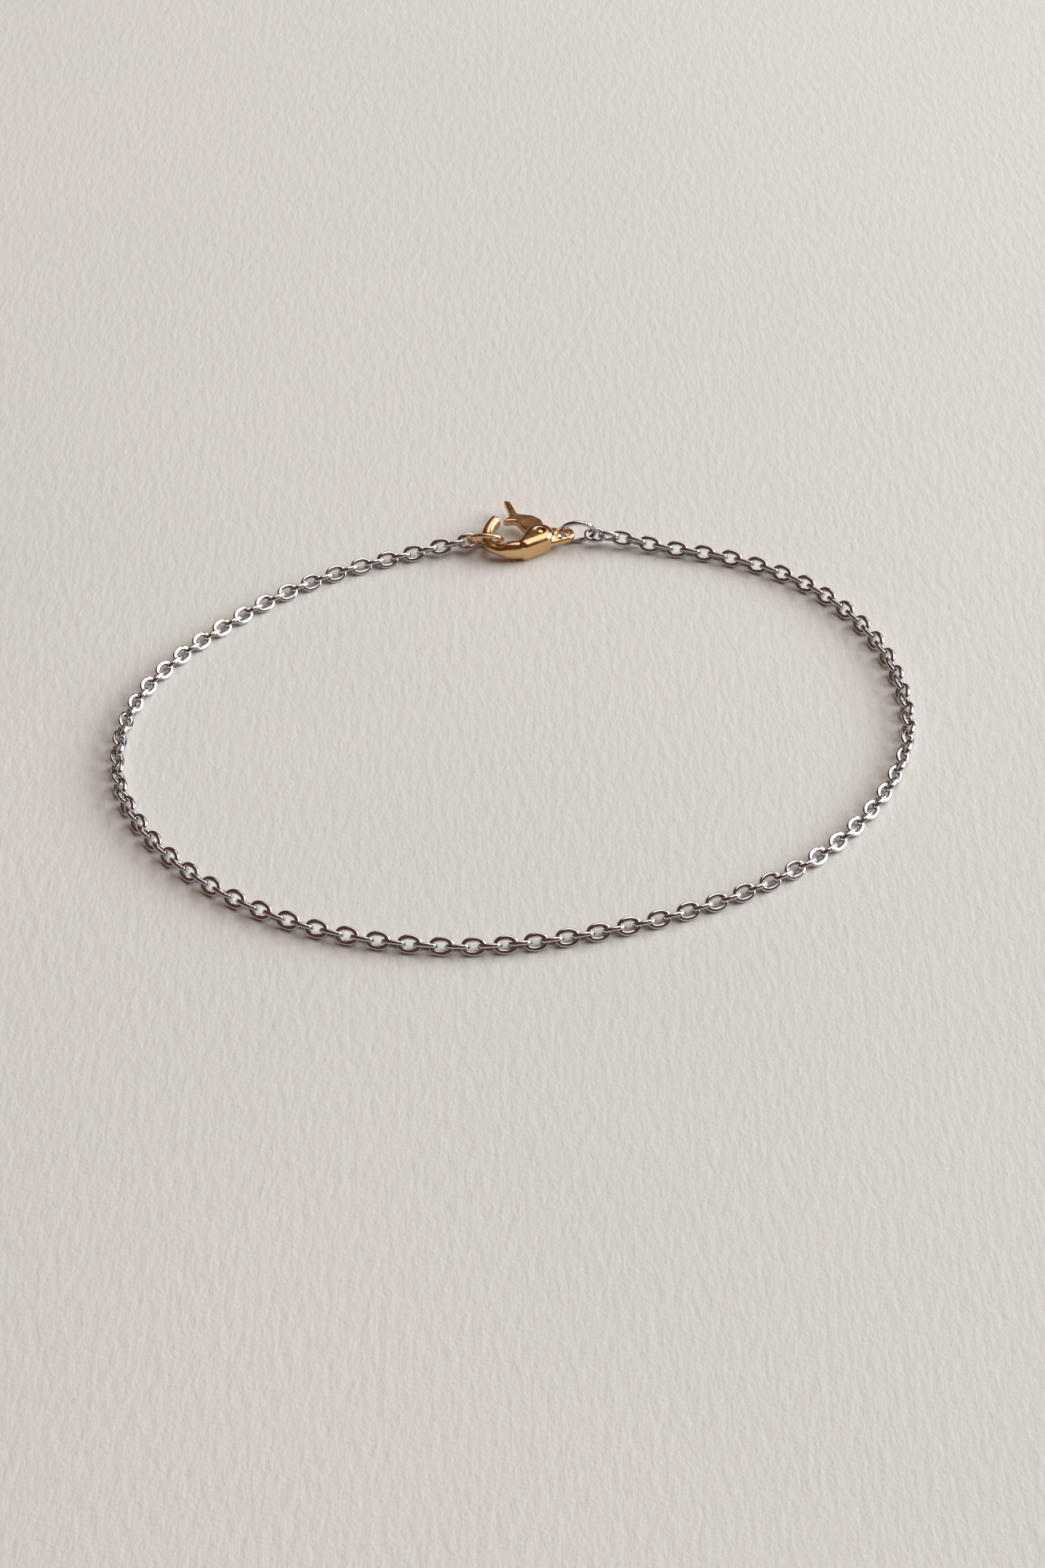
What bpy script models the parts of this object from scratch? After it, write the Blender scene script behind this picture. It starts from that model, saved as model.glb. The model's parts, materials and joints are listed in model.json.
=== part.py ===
"""Chain bracelet: an oval cable chain closed by a sprung claw clasp, lying in its open loop on a surface.

Metres, +Z up. The bracelet rests on z = 0, and the origin is under the middle of its outline.
The clasp is drawn round its rivet: +X runs from the hook to the tail, +Y to the gate's side.
The chain starts in the hook's ring, goes round the loop and ends in the tail's ring.
"""
import math

import bmesh
import bpy
from mathutils import Matrix, Vector, geometry

MM = 0.001

# Clearance between pieces that touch or turn on each other
GAP = 0.10 * MM

# Chain: oval links of round wire, each turned a quarter from the next
LINK_LENGTH = 1.87 * MM
LINK_WIDTH = 1.41 * MM
LINK_WIRE = 0.34 * MM
LINK_SIDES = 10
LINK_WIRE_SIDES = 5
LINK_ROLL = math.radians(45)
# Shortest neck that joins two links where they bear on each other
LINK_NECK = 0.02 * MM
# Play between the two links in which the chain's halves hang
HALVES_PLAY = 0.15 * MM
# The rings lift the chain's ends off the surface, to this height and over this length
END_HEIGHT = 1.0 * MM
LIFTED_LENGTH = 7.0 * MM
# The lifted links turn a little, so that the end link hangs square in the tail's ring
TAIL_TWIST = math.radians(21)

# Chain's way round the loop, in millimetres from the rivet: chosen points, hook end first
CHAIN_ROUTE = [
    (-11.6, -1.9), (-17.1, -4.3), (-22.0, -7.6), (-26.3, -11.7), (-30.1, -16.3), (-32.9, -21.5),
    (-34.1, -27.3), (-33.5, -33.2), (-31.1, -38.6), (-27.5, -43.2), (-22.9, -47.0), (-17.6, -49.8),
    (-12.0, -51.4), (-6.0, -52.0), (-0.1, -51.4), (5.6, -50.0), (11.2, -48.0), (16.5, -45.3),
    (21.3, -41.8), (25.2, -37.3), (28.1, -32.2), (29.8, -26.5), (29.8, -20.6), (28.5, -14.8),
    (25.8, -9.5), (21.8, -5.2), (16.6, -2.3), (10.9, -0.7), (7.2, 0.3),
]
ROUTE_STEPS = 24

# Clasp: body
CLASP_HEIGHT = 2.0 * MM
HOOK_HEIGHT = 0.90 * MM
HOOK_BAR = 1.0 * MM
HOOK_ROUND = 0.22 * MM
# Rivet to the middle of the hook's bar, and the angle at which the hook ends
HOOK_REACH = 4.6 * MM
HOOK_END = math.radians(142.5)
# Radius of the hook's heel, where the bar turns into the spine
HEEL_RADIUS = 1.7 * MM
# The spine curves up from the heel to the cheeks, to this angle
SPINE_RADIUS = 6.4 * MM
SPINE_END = math.radians(297)
CHEEK_RADIUS = 1.3 * MM
CHEEK_ROUND = 0.35 * MM
# The cheeks reach back over the spine to this angle, with this radius
SHOULDER_AT = math.radians(285)
SHOULDER_RADIUS = 0.58 * MM
# The tail's plate wraps round the middle of the cheeks with this radius, a little to the front
WAIST_RADIUS = 0.95 * MM
WAIST_Y = -0.3 * MM
TAIL_HEIGHT = 0.60 * MM
TAIL_X = 2.15 * MM
TAIL_Y = 0.6 * MM
TAIL_RADIUS = 0.95 * MM
TAIL_HOLE_RADIUS = 0.58 * MM
# The slot between the cheeks is open to the gate's side between these angles
SLOT_FROM = math.radians(62)
SLOT_TO = math.radians(188)

# Clasp: rivet and gate
RIVET_RADIUS = 0.32 * MM
# The rivet's lower end stays this far off the surface
RIVET_RECESS = 0.05 * MM
GATE_HEIGHT = 0.65 * MM
KNUCKLE_RADIUS = 0.95 * MM
# Gate's back, in millimetres from the rivet, from the knuckle to the thumb piece
GATE_BACK = [(0.42, 1.7), (0.15, 2.6), (-0.6, 3.2), (-1.95, 3.45)]
# Thumb piece: its outer end, then the foot of its hook side
THUMB_END = [(-2.6, 5.35), (-3.15, 5.4)]
THUMB_FOOT = (-2.6, 3.36)
# Where the gate's inner edge turns towards its tip
GATE_ELBOW = (-2.1, 2.42)
GATE_TIP_FROM = math.radians(132)
GATE_TIP_TO = math.radians(144.5)
# The faceted hook wall comes this much nearer than its round form
GATE_TIP_TRIM = 0.03 * MM
KNUCKLE_FROM = math.radians(152)
KNUCKLE_TO = math.radians(436)

# Jump rings: outer diameter, wire and lean from the surface
HOOK_RING_DIAMETER = 3.3 * MM
TAIL_RING_DIAMETER = 3.32 * MM
RING_WIRE = 0.41 * MM
HOOK_RING_LEAN = math.radians(50)
TAIL_RING_LEAN = math.radians(66)
# How far each ring's middle lies past the middle of the bar that it holds
HOOK_RING_PAST = 0.12 * MM
TAIL_RING_PAST = 0.44 * MM
# Angle round the hook's heel at which the hook's ring sits
HOOK_RING_AT = math.radians(190)
RING_SIDES = 12
RING_WIRE_SIDES = 5

# Fineness of the hook's curves, and of the plates' and bores' round corners
HOOK_STEP = math.radians(15)
ROUND_STEP = math.radians(30)

# Turns a wire's section so that its first corner is on the bend's outer side
FIRST_CORNER = Matrix.Rotation(-math.pi / 2, 4, "Z")

STEEL = ((0.72, 0.72, 0.71), 0.12)
GOLD = ((0.83, 0.60, 0.30), 0.14)


def metal(name, finish):
    """A metal with a base colour and a roughness."""
    colour, roughness = finish
    material = bpy.data.materials.new(name)
    material.use_nodes = True
    shader = material.node_tree.nodes["Principled BSDF"]
    shader.inputs["Base Color"].default_value = (*colour, 1)
    shader.inputs["Roughness"].default_value = roughness
    shader.inputs["Metallic"].default_value = 1
    return material


def add_object(name, bm, finish):
    """Turns a bmesh into a named object with smooth shading."""
    bmesh.ops.recalc_face_normals(bm, faces=bm.faces)
    mesh = bpy.data.meshes.new(name)
    bm.to_mesh(mesh)
    bm.free()
    mesh.shade_smooth()
    mesh.set_sharp_from_angle(angle=math.radians(35))
    mesh.materials.append(metal(name, finish))
    item = bpy.data.objects.new(name, mesh)
    bpy.context.collection.objects.link(item)
    return item


def arc(centre, radius, start, end, step=HOOK_STEP):
    """Points on an arc, in plan, with both ends."""
    count = max(2, math.ceil(abs(end - start) / step))
    turns = [start + (end - start) * k / count for k in range(count + 1)]
    return [Vector((centre[0] + radius * math.cos(t), centre[1] + radius * math.sin(t), 0)) for t in turns]


def flat(point):
    """The point's place in plan."""
    return Vector((point.x, point.y, 0))


def in_plan(points):
    """Chosen points, given in millimetres, as vectors."""
    return [Vector((x * MM, y * MM, 0)) for x, y in points]


def prism(outline, low, high):
    """A flat outline made into a closed plate between two heights."""
    bm = bmesh.new()
    face = bm.faces.new([bm.verts.new((p.x, p.y, low)) for p in outline])
    raised = bmesh.ops.extrude_face_region(bm, geom=[face])
    verts = [v for v in raised["geom"] if isinstance(v, bmesh.types.BMVert)]
    bmesh.ops.translate(bm, verts=verts, vec=(0, 0, high - low))
    bmesh.ops.recalc_face_normals(bm, faces=bm.faces)
    return bm


def hull_plate(circles, low, high):
    """The plate that wraps round circles given as centre x, centre y and radius."""
    bm = bmesh.new()
    for x, y, radius in circles:
        for p in arc((x, y), radius, 0, 2 * math.pi, ROUND_STEP)[:-1]:
            bm.verts.new((p.x, p.y, low))
            bm.verts.new((p.x, p.y, high))
    hull = bmesh.ops.convex_hull(bm, input=bm.verts)
    inside = [v for v in hull["geom_interior"] if isinstance(v, bmesh.types.BMVert)]
    bmesh.ops.delete(bm, geom=inside, context="VERTS")
    bmesh.ops.dissolve_limit(bm, angle_limit=math.radians(1), verts=bm.verts, edges=bm.edges)
    bmesh.ops.recalc_face_normals(bm, faces=bm.faces)
    return bm


def cutter(name, bm):
    """A hidden object for a Boolean."""
    item = add_object(name, bm, STEEL)
    item.hide_render = True
    item.display_type = "WIRE"
    return item


def boolean(item, tool, operation):
    """Adds a Boolean with another object."""
    step = item.modifiers.new(operation.lower(), "BOOLEAN")
    step.operation = operation
    step.object = tool
    step.solver = "EXACT"


def mitres(path):
    """Along a closed outline, the vector that offsets each corner outwards by one unit."""
    count = len(path)
    sides = [(path[(k + 1) % count] - path[k]).normalized() for k in range(count)]
    outwards = [Vector((s.y, -s.x, 0)) for s in sides]
    return [(outwards[k - 1] + outwards[k]) / (1 + outwards[k - 1].dot(outwards[k])) for k in range(count)]


def closed_tube(path, wire, sides):
    """A wire of few sides bent along a closed outline, a flat side inwards."""
    bm = bmesh.new()
    edges = []
    for point, outward in zip(path, mitres(path)):
        plane = Matrix((outward, Vector((0, 0, 1)), outward.cross(Vector((0, 0, 1))))).transposed()
        place = Matrix.Translation(point) @ plane.to_4x4() @ FIRST_CORNER
        ring = bmesh.ops.create_circle(bm, segments=sides, radius=wire / 2 * girth(sides), matrix=place)
        edges += list({e for v in ring["verts"] for e in v.link_edges})
    bmesh.ops.bridge_loops(bm, edges=edges, use_cyclic=True)
    bmesh.ops.recalc_face_normals(bm, faces=bm.faces)
    return bm


def girth(sides):
    """Radius of the corners of a wire's outline, so that an odd outline is as deep as the round wire."""
    return 2 / (1 + math.cos(math.pi / sides)) if sides % 2 else 1


def bearing(wire, sides):
    """Middle of the wire to its flat inner side."""
    return wire / 2 * girth(sides) * math.cos(math.pi / sides)


def oval(length, width, sides):
    """Corners of an oval whose two ends are flat sides that touch its full length."""
    turns = [2 * math.pi * (k + 0.5) / sides for k in range(sides)]
    reach = length / 2 / math.cos(math.pi / sides)
    return [Vector((reach * math.cos(t), width / 2 * math.sin(t), 0)) for t in turns]


def link_bearing():
    """Middle of a link to the inner side of its end."""
    return (LINK_LENGTH - LINK_WIRE) / 2 - bearing(LINK_WIRE, LINK_WIRE_SIDES)


def link_mesh():
    """One oval link in the plane z = 0, its length along X."""
    path = oval(LINK_LENGTH - LINK_WIRE, LINK_WIDTH - LINK_WIRE, LINK_SIDES)
    bm = closed_tube(path, LINK_WIRE, LINK_WIRE_SIDES)
    mesh = bpy.data.meshes.new("link")
    bm.to_mesh(mesh)
    bm.free()
    return mesh


def end_face(mesh, way):
    """Index of the inner face at the link's end on one side, way 1 or -1."""
    return max(mesh.polygons, key=lambda f: -way * f.normal.x * (way * f.center.x > 0) - abs(f.center.y)).index


def fuse(bm, one, other):
    """Joins two facing ends by a short neck."""
    edges = list(one.edges) + list(other.edges)
    bmesh.ops.delete(bm, geom=[one, other], context="FACES_ONLY")
    bmesh.ops.bridge_loops(bm, edges=edges)


def add_links(name, places, finish):
    """A row of links fused into one body."""
    bm = bmesh.new()
    mesh = link_mesh()
    first, last = end_face(mesh, -1), end_face(mesh, 1)
    ends = []
    for place in places:
        start, seen = len(bm.faces), len(bm.verts)
        bm.from_mesh(mesh)
        bm.verts.ensure_lookup_table()
        bm.faces.ensure_lookup_table()
        bmesh.ops.transform(bm, matrix=place, verts=bm.verts[seen:])
        ends.append((bm.faces[start + first], bm.faces[start + last]))
    for here, there in zip(ends, ends[1:]):
        fuse(bm, here[1], there[0])
    bpy.data.meshes.remove(mesh)
    return add_object(name, bm, finish)


class Ring:
    """A jump ring that leans towards -Y and stands on the surface."""

    def __init__(self, diameter, lean, held, past):
        self.radius = (diameter - RING_WIRE) / 2
        self.up = Vector((0, -math.cos(lean), math.sin(lean)))
        height = self.radius * self.up.z + RING_WIRE / 2
        rise = (height - held.z) / self.up.z
        self.centre = held + self.up * rise + Vector((past, 0, 0))

    def low_point(self, side, height):
        """Middle of the wire where it passes a height on one side, 1 or -1, and the wire's way there."""
        climb = (height - self.centre.z) / self.up.z
        reach = Vector((side * math.sqrt(self.radius ** 2 - climb ** 2), 0, 0))
        wire_way = (self.up * reach.x - Vector((climb, 0, 0))) / self.radius
        return self.centre + self.up * climb + reach, wire_way

    def build(self, name, finish):
        """The ring as a solid."""
        path = oval(2 * self.radius, 2 * self.radius / math.cos(math.pi / RING_SIDES), RING_SIDES)
        bm = closed_tube(path, RING_WIRE, RING_WIRE_SIDES)
        across = Vector((1, 0, 0)).cross(self.up)
        plane = Matrix((Vector((1, 0, 0)), self.up, across)).transposed().to_4x4()
        bmesh.ops.transform(bm, matrix=Matrix.Translation(self.centre) @ plane, verts=bm.verts)
        return add_object(name, bm, finish)


def smooth_route(points):
    """A smooth curve through the points, as close steps."""
    lean = [(b - a) for a, b in zip([points[0]] + points, points[1:] + [points[-1]])]
    steps = []
    for k in range(len(points) - 1):
        here, there = points[k], points[k + 1]
        reach = (there - here).length / 3
        handles = here + lean[k].normalized() * reach, there - lean[k + 1].normalized() * reach
        steps += geometry.interpolate_bezier(here, *handles, there, ROUTE_STEPS)[:-1]
    return steps + [points[-1]]


class Route:
    """The chain's way from ring to ring, by distance along it."""

    def __init__(self, points):
        self.points = smooth_route(points)
        self.marks = [0.0]
        for here, there in zip(self.points, self.points[1:]):
            self.marks.append(self.marks[-1] + (there - here).length)
        self.length = self.marks[-1]

    def at(self, distance):
        """The point at a distance, lifted near the rings."""
        k = 0
        while k < len(self.marks) - 2 and self.marks[k + 1] < distance:
            k += 1
        way = (self.points[k + 1] - self.points[k]).normalized()
        share = lift(min(distance, self.length - distance))
        height = chain_height() + (END_HEIGHT - chain_height()) * share
        return self.points[k] + way * (distance - self.marks[k]) + Vector((0, 0, height))


def chain_height():
    """Height of the chain's middle when its tilted links stand on the surface."""
    return (LINK_WIDTH - LINK_WIRE) / 2 * math.sin(LINK_ROLL) + LINK_WIRE / 2


def lift(distance):
    """Share of the rise towards a ring at a distance from it: 1 at the ring, 0 past the lifted length."""
    share = min(1, max(0, 1 - distance / LIFTED_LENGTH))
    return share * share * (3 - 2 * share)


def inset(way, wire_way):
    """Distance from a ring's wire, which slants through the end link, to that link's middle."""
    slant = abs(way.dot(wire_way))
    across = math.sqrt(1 - slant ** 2)
    ring_reach = RING_WIRE / 2 * girth(RING_WIRE_SIDES)
    link_reach = LINK_WIRE / 2 * girth(LINK_WIRE_SIDES)
    return link_bearing() - GAP - (ring_reach + link_reach * slant) / across


def link_place(route, distance, pitch, roll):
    """Matrix of a link that lies along the route, its width rolled from level."""
    way = (route.at(distance + pitch / 2) - route.at(distance - pitch / 2)).normalized()
    side = Vector((0, 0, 1)).cross(way).normalized()
    width = side * math.cos(roll) + way.cross(side) * math.sin(roll)
    turn = Matrix((way, width, way.cross(width))).transposed().to_4x4()
    return Matrix.Translation(route.at(distance)) @ turn


def chain_places(route, first, last):
    """Matrices of the two halves' links, an odd number spread evenly between the insets at both rings."""
    # The two halves hang in each other with play in place of a neck
    lost = HALVES_PLAY - LINK_NECK
    room = route.length - first - last + lost
    count = int(room / (2 * link_bearing() - LINK_NECK)) + 1
    count -= 1 - count % 2
    pitch = room / (count - 1)
    half = count // 2 + 1
    places = []
    for k in range(count):
        distance = first + k * pitch - lost * (k >= half)
        roll = (LINK_ROLL if k % 2 else -LINK_ROLL) + TAIL_TWIST * lift(route.length - distance)
        places.append(link_place(route, distance, pitch, roll))
    return places[:half], places[half:]


def add_clasp_body(middle):
    """Hook, spine, cheeks and tail: one casting."""
    heel = (-HOOK_REACH + HEEL_RADIUS, 0)
    back = (heel[0], SPINE_RADIUS - HEEL_RADIUS)
    outer, inner = HOOK_BAR / 2, -HOOK_BAR / 2
    outline = arc((0, 0), HOOK_REACH + outer, HOOK_END, math.pi)[:-1]
    outline += arc(heel, HEEL_RADIUS + outer, math.pi, math.pi * 3 / 2)[:-1]
    outline += arc(back, SPINE_RADIUS + outer, math.pi * 3 / 2, SPINE_END)
    outline += arc(back, SPINE_RADIUS + inner, SPINE_END, math.pi * 3 / 2)[:-1]
    outline += arc(heel, HEEL_RADIUS + inner, math.pi * 3 / 2, math.pi)[:-1]
    outline += arc((0, 0), HOOK_REACH + inner, math.pi, HOOK_END)
    low, high = middle - HOOK_HEIGHT / 2, middle + HOOK_HEIGHT / 2
    bm = prism(outline, low, high)
    round_edges(bm, HOOK_ROUND)
    body = add_object("clasp_body", bm, GOLD)
    shoulder = arc(back, SPINE_RADIUS, math.pi * 3 / 2, SHOULDER_AT)[-1]
    cheeks = hull_plate([(0, 0, CHEEK_RADIUS), (shoulder.x, shoulder.y, SHOULDER_RADIUS)], 0, CLASP_HEIGHT)
    round_edges(cheeks, CHEEK_ROUND)
    boolean(body, cutter("cheeks", cheeks), "UNION")
    low, high = middle - TAIL_HEIGHT / 2, middle + TAIL_HEIGHT / 2
    tail = hull_plate([(TAIL_X, TAIL_Y, TAIL_RADIUS), (0, WAIST_Y, WAIST_RADIUS)], low, high)
    boolean(body, cutter("tail", tail), "UNION")
    boolean(body, cutter("slot", slot_mesh(middle)), "DIFFERENCE")
    bore = hull_plate([(0, 0, RIVET_RADIUS + GAP)], -CLASP_HEIGHT, 2 * CLASP_HEIGHT)
    boolean(body, cutter("bore", bore), "DIFFERENCE")
    hole = hull_plate([(TAIL_X, TAIL_Y, TAIL_HOLE_RADIUS)], -CLASP_HEIGHT, 2 * CLASP_HEIGHT)
    boolean(body, cutter("tail_hole", hole), "DIFFERENCE")
    return body


def round_edges(bm, width):
    """Bevels the edges between a plate's faces and its sides."""
    rims = [e for e in bm.edges if abs(e.verts[0].co.z - e.verts[1].co.z) < width / 100]
    bmesh.ops.bevel(bm, geom=rims, offset=width, segments=1, affect="EDGES", profile=0.5, material=-1)


def slot_mesh(middle):
    """The room between the cheeks for the gate's knuckle and its swing."""
    reach = CHEEK_RADIUS + TAIL_RADIUS
    # The flats of the faceted room keep the gap from the knuckle's corners
    around = (KNUCKLE_RADIUS + GAP) / math.cos(ROUND_STEP / 2)
    outline = arc((0, 0), around, SLOT_TO, SLOT_FROM + 2 * math.pi, ROUND_STEP)
    outline += arc((0, 0), reach, SLOT_FROM, SLOT_TO, ROUND_STEP)
    half = GATE_HEIGHT / 2 + GAP
    return prism(outline, middle - half, middle + half)


def add_gate(middle):
    """The sprung gate, with its knuckle on the rivet and its thumb piece."""
    reach = HOOK_REACH - HOOK_BAR / 2 - GAP - GATE_TIP_TRIM
    outline = arc((0, 0), KNUCKLE_RADIUS, KNUCKLE_FROM, KNUCKLE_TO, ROUND_STEP)
    outline += in_plan(GATE_BACK + THUMB_END + [THUMB_FOOT])
    outline += arc((0, 0), reach, GATE_TIP_FROM, GATE_TIP_TO)
    outline += in_plan([GATE_ELBOW])
    gate = add_object("clasp_gate", prism(outline, middle - GATE_HEIGHT / 2, middle + GATE_HEIGHT / 2), GOLD)
    bore = hull_plate([(0, 0, RIVET_RADIUS + GAP)], -CLASP_HEIGHT, 2 * CLASP_HEIGHT)
    boolean(gate, cutter("gate_bore", bore), "DIFFERENCE")
    return gate


def add_rivet():
    """The pin on which the gate turns, flush with the upper cheek."""
    return add_object("clasp_rivet", hull_plate([(0, 0, RIVET_RADIUS)], RIVET_RECESS, CLASP_HEIGHT), GOLD)


def settle(items, pivot):
    """Moves all pieces so that the bracelet stands on z = 0 with its outline centred on the origin."""
    depsgraph = bpy.context.evaluated_depsgraph_get()
    corners = [item.evaluated_get(depsgraph).matrix_world @ Vector(c)
               for item in items for c in item.evaluated_get(depsgraph).bound_box]
    low = Vector(min(c[k] for c in corners) for k in range(3))
    high = Vector(max(c[k] for c in corners) for k in range(3))
    shift = Vector((-(low.x + high.x) / 2, -(low.y + high.y) / 2, -low.z))
    for item in [pivot] + [i for i in bpy.data.objects if i.type == "MESH" and i.parent is None]:
        item.location += shift


def main():
    """Builds the bracelet."""
    for item in list(bpy.data.objects):
        bpy.data.objects.remove(item)
    middle = CLASP_HEIGHT / 2
    body = add_clasp_body(middle)
    gate = add_gate(middle)
    rivet = add_rivet()

    heel = Vector((-HOOK_REACH + HEEL_RADIUS, 0, middle))
    bar = heel + Vector((math.cos(HOOK_RING_AT), math.sin(HOOK_RING_AT), 0)) * HEEL_RADIUS
    hook_ring = Ring(HOOK_RING_DIAMETER, HOOK_RING_LEAN, bar, -HOOK_RING_PAST)
    rim = Vector((TAIL_X + (TAIL_RADIUS + TAIL_HOLE_RADIUS) / 2, TAIL_Y, middle))
    tail_ring = Ring(TAIL_RING_DIAMETER, TAIL_RING_LEAN, rim, TAIL_RING_PAST)
    rings = [hook_ring.build("jump_ring_hook", GOLD), tail_ring.build("jump_ring_tail", STEEL)]

    start, start_wire = hook_ring.low_point(-1, END_HEIGHT)
    end, end_wire = tail_ring.low_point(1, END_HEIGHT)
    route = Route([flat(start)] + in_plan(CHAIN_ROUTE) + [flat(end)])
    first = inset((route.points[1] - route.points[0]).normalized(), start_wire)
    last = inset((route.points[-1] - route.points[-2]).normalized(), end_wire)
    left, right = chain_places(route, first, last)
    chains = [add_links("chain_hook_half", left, STEEL), add_links("chain_tail_half", right, STEEL)]

    # The gate hangs on an empty that stands on its axis
    pivot = bpy.data.objects.new("gate_axis", None)
    bpy.context.collection.objects.link(pivot)
    gate.parent = pivot
    bpy.context.view_layer.update()
    settle([body, gate, rivet] + rings + chains, pivot)


main()
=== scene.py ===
"""Looks of a fine cable chain bracelet with a claw clasp, lying in an open loop on toothed paper.

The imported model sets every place. The clasp is drawn round its rivet, as in the part's source, with +X from
the hook to the tail and +Y towards the gate, and the whole is then moved to the frame's own rivet.
"""

import json
import logging
import math
import random
from dataclasses import dataclass
from enum import Enum

import bmesh
import bpy
from mathutils import Matrix, Vector, geometry


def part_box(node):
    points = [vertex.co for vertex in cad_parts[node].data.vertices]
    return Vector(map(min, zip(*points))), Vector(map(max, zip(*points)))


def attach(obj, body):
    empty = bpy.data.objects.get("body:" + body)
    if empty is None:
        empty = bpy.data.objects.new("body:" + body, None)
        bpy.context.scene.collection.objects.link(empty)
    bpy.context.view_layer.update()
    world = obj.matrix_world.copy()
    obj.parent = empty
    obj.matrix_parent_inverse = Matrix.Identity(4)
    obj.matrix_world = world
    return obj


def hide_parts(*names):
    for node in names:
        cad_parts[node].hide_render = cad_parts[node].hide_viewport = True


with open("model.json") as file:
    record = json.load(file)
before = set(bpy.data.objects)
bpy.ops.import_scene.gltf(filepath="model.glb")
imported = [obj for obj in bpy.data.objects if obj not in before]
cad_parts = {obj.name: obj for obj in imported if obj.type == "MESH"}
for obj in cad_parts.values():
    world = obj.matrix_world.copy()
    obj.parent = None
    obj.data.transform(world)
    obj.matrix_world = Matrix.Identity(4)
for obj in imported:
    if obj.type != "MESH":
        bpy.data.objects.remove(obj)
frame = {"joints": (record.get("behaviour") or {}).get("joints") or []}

MM = 0.001
UP = Vector((0, 0, 1))
# A plate's upright edge counts as a sharp corner above this angle
SHARP = math.radians(15)
BRACELET = "bracelet"
GATE = "gate"
log = logging.getLogger("bracelet")


def linear(code: str) -> tuple[float, float, float, float]:
    """Turns an sRGB colour to linear light.

    Args:
        code: The colour as #RRGGBB.

    Returns:
        Red, green, blue and a full alpha.
    """
    shares = [int(code[k:k + 2], 16) / 255 for k in (1, 3, 5)]
    light = [s / 12.92 if s <= 0.04045 else ((s + 0.055) / 1.055) ** 2.4 for s in shares]
    return (*light, 1.0)


def add_node(tree: bpy.types.NodeTree, kind: str, sockets: dict | None = None,
             **settings: object) -> bpy.types.Node:
    """Adds a node with its settings and links.

    Args:
        tree: The tree that gets the node.
        kind: The node's type.
        sockets: Each input's value, or the output that feeds it.
        settings: The node's own properties.

    Returns:
        The new node.
    """
    node = tree.nodes.new(kind)
    for name, value in settings.items():
        setattr(node, name, value)
    for name, value in (sockets or {}).items():
        if isinstance(value, bpy.types.NodeSocket):
            tree.links.new(value, node.inputs[name])
        else:
            node.inputs[name].default_value = value
    return node


def new_material(name: str) -> tuple[bpy.types.Material, bpy.types.NodeTree, bpy.types.Node]:
    """Starts a material.

    Args:
        name: The material's name.

    Returns:
        The material, its tree and its Principled shader.
    """
    material = bpy.data.materials.new(name)
    material.use_nodes = True
    tree = material.node_tree
    return material, tree, tree.nodes["Principled BSDF"]


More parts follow.
